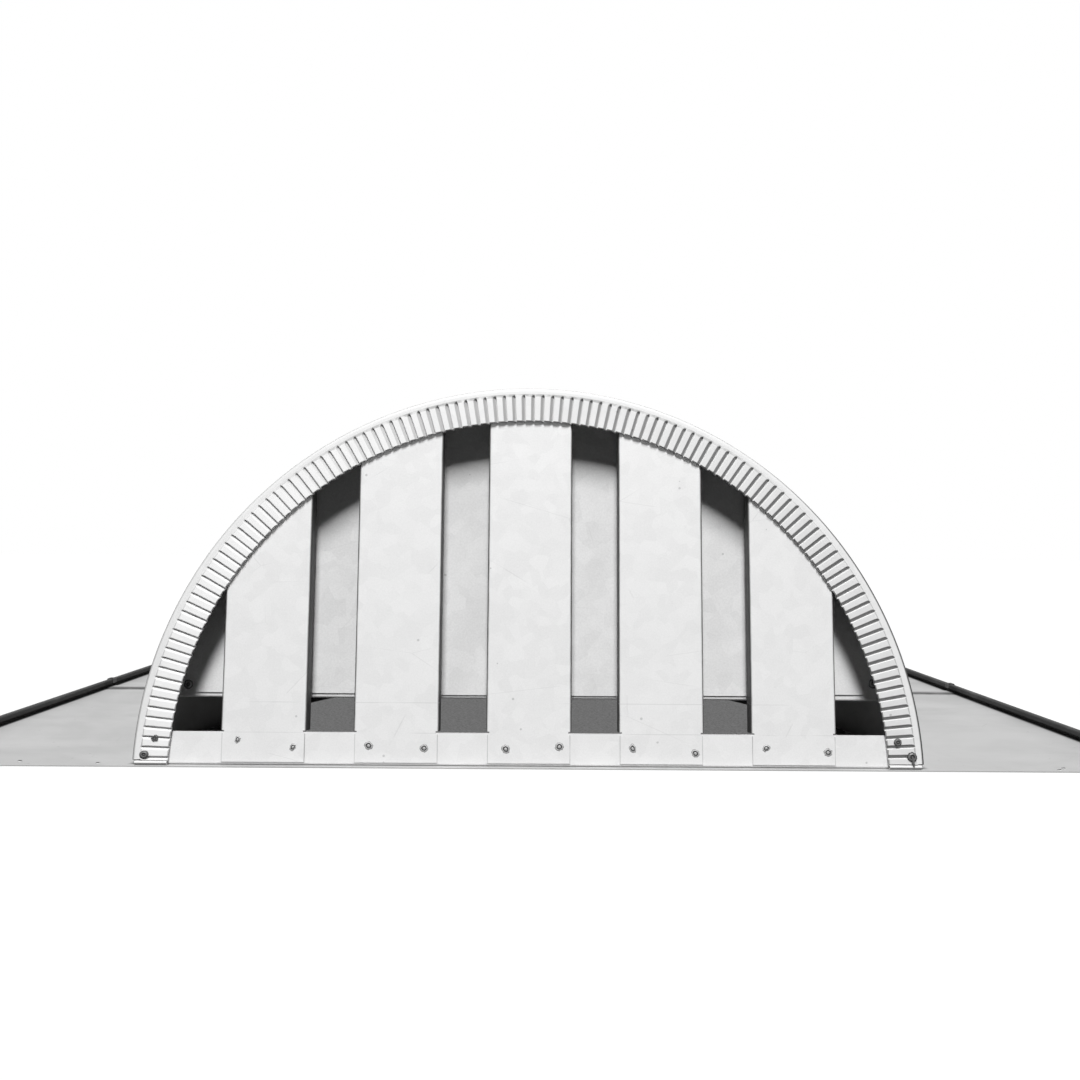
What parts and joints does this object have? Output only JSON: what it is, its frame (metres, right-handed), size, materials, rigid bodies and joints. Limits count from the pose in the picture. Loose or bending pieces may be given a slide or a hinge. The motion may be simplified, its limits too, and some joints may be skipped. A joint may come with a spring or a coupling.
{
  "type": "half-round dormer vent",
  "caption": "Half-round roof dormer vent in galvanised sheet: sloping hood on a wide hemmed flange, crimped rim, and two staggered rows of upright channel slats over a low sill.",
  "frame": {"origin": "underside of the roof flange, midway along its width and its length", "axes": "+X to the right seen from the front, +Z square up from the flange; the slatted face looks along -Y"},
  "size_m": [0.9878, 0.711, 0.2981],
  "materials": {
    "galvanised_flange": "galvanised sheet, satin, softly streaked",
    "galvanised_hood": "galvanised sheet, satin",
    "galvanised_rim": "galvanised sheet, satin, crimped",
    "galvanised_face": "galvanised sheet, satin, fine grain",
    "galvanised_inner": "galvanised sheet, satin",
    "rivet_metal": "aluminium blind rivets, dull"
  },
  "bodies": {
    "root": {"base_front_sheet": "galvanised_flange", "base_rear_sheet": "galvanised_flange", "hood": "galvanised_hood", "fluted_rim": "galvanised_rim", "sill": "galvanised_face", "front_slat_1": "galvanised_face", "front_slat_2": "galvanised_face", "front_slat_3": "galvanised_face", "front_slat_4": "galvanised_face", "front_slat_5": "galvanised_face", "rear_slat_1": "galvanised_inner", "rear_slat_2": "galvanised_inner", "rear_slat_3": "galvanised_inner", "rear_slat_4": "galvanised_inner", "rear_slat_5": "galvanised_inner", "rear_slat_6": "galvanised_inner", "rear_rail": "galvanised_inner", "rim_foot_left": "galvanised_rim", "rim_foot_right": "galvanised_rim", "seam_fold_left": "galvanised_flange", "seam_fold_right": "galvanised_flange", "rim_rivets": "rivet_metal", "rail_rivets": "rivet_metal"}
  },
  "joints": []
}
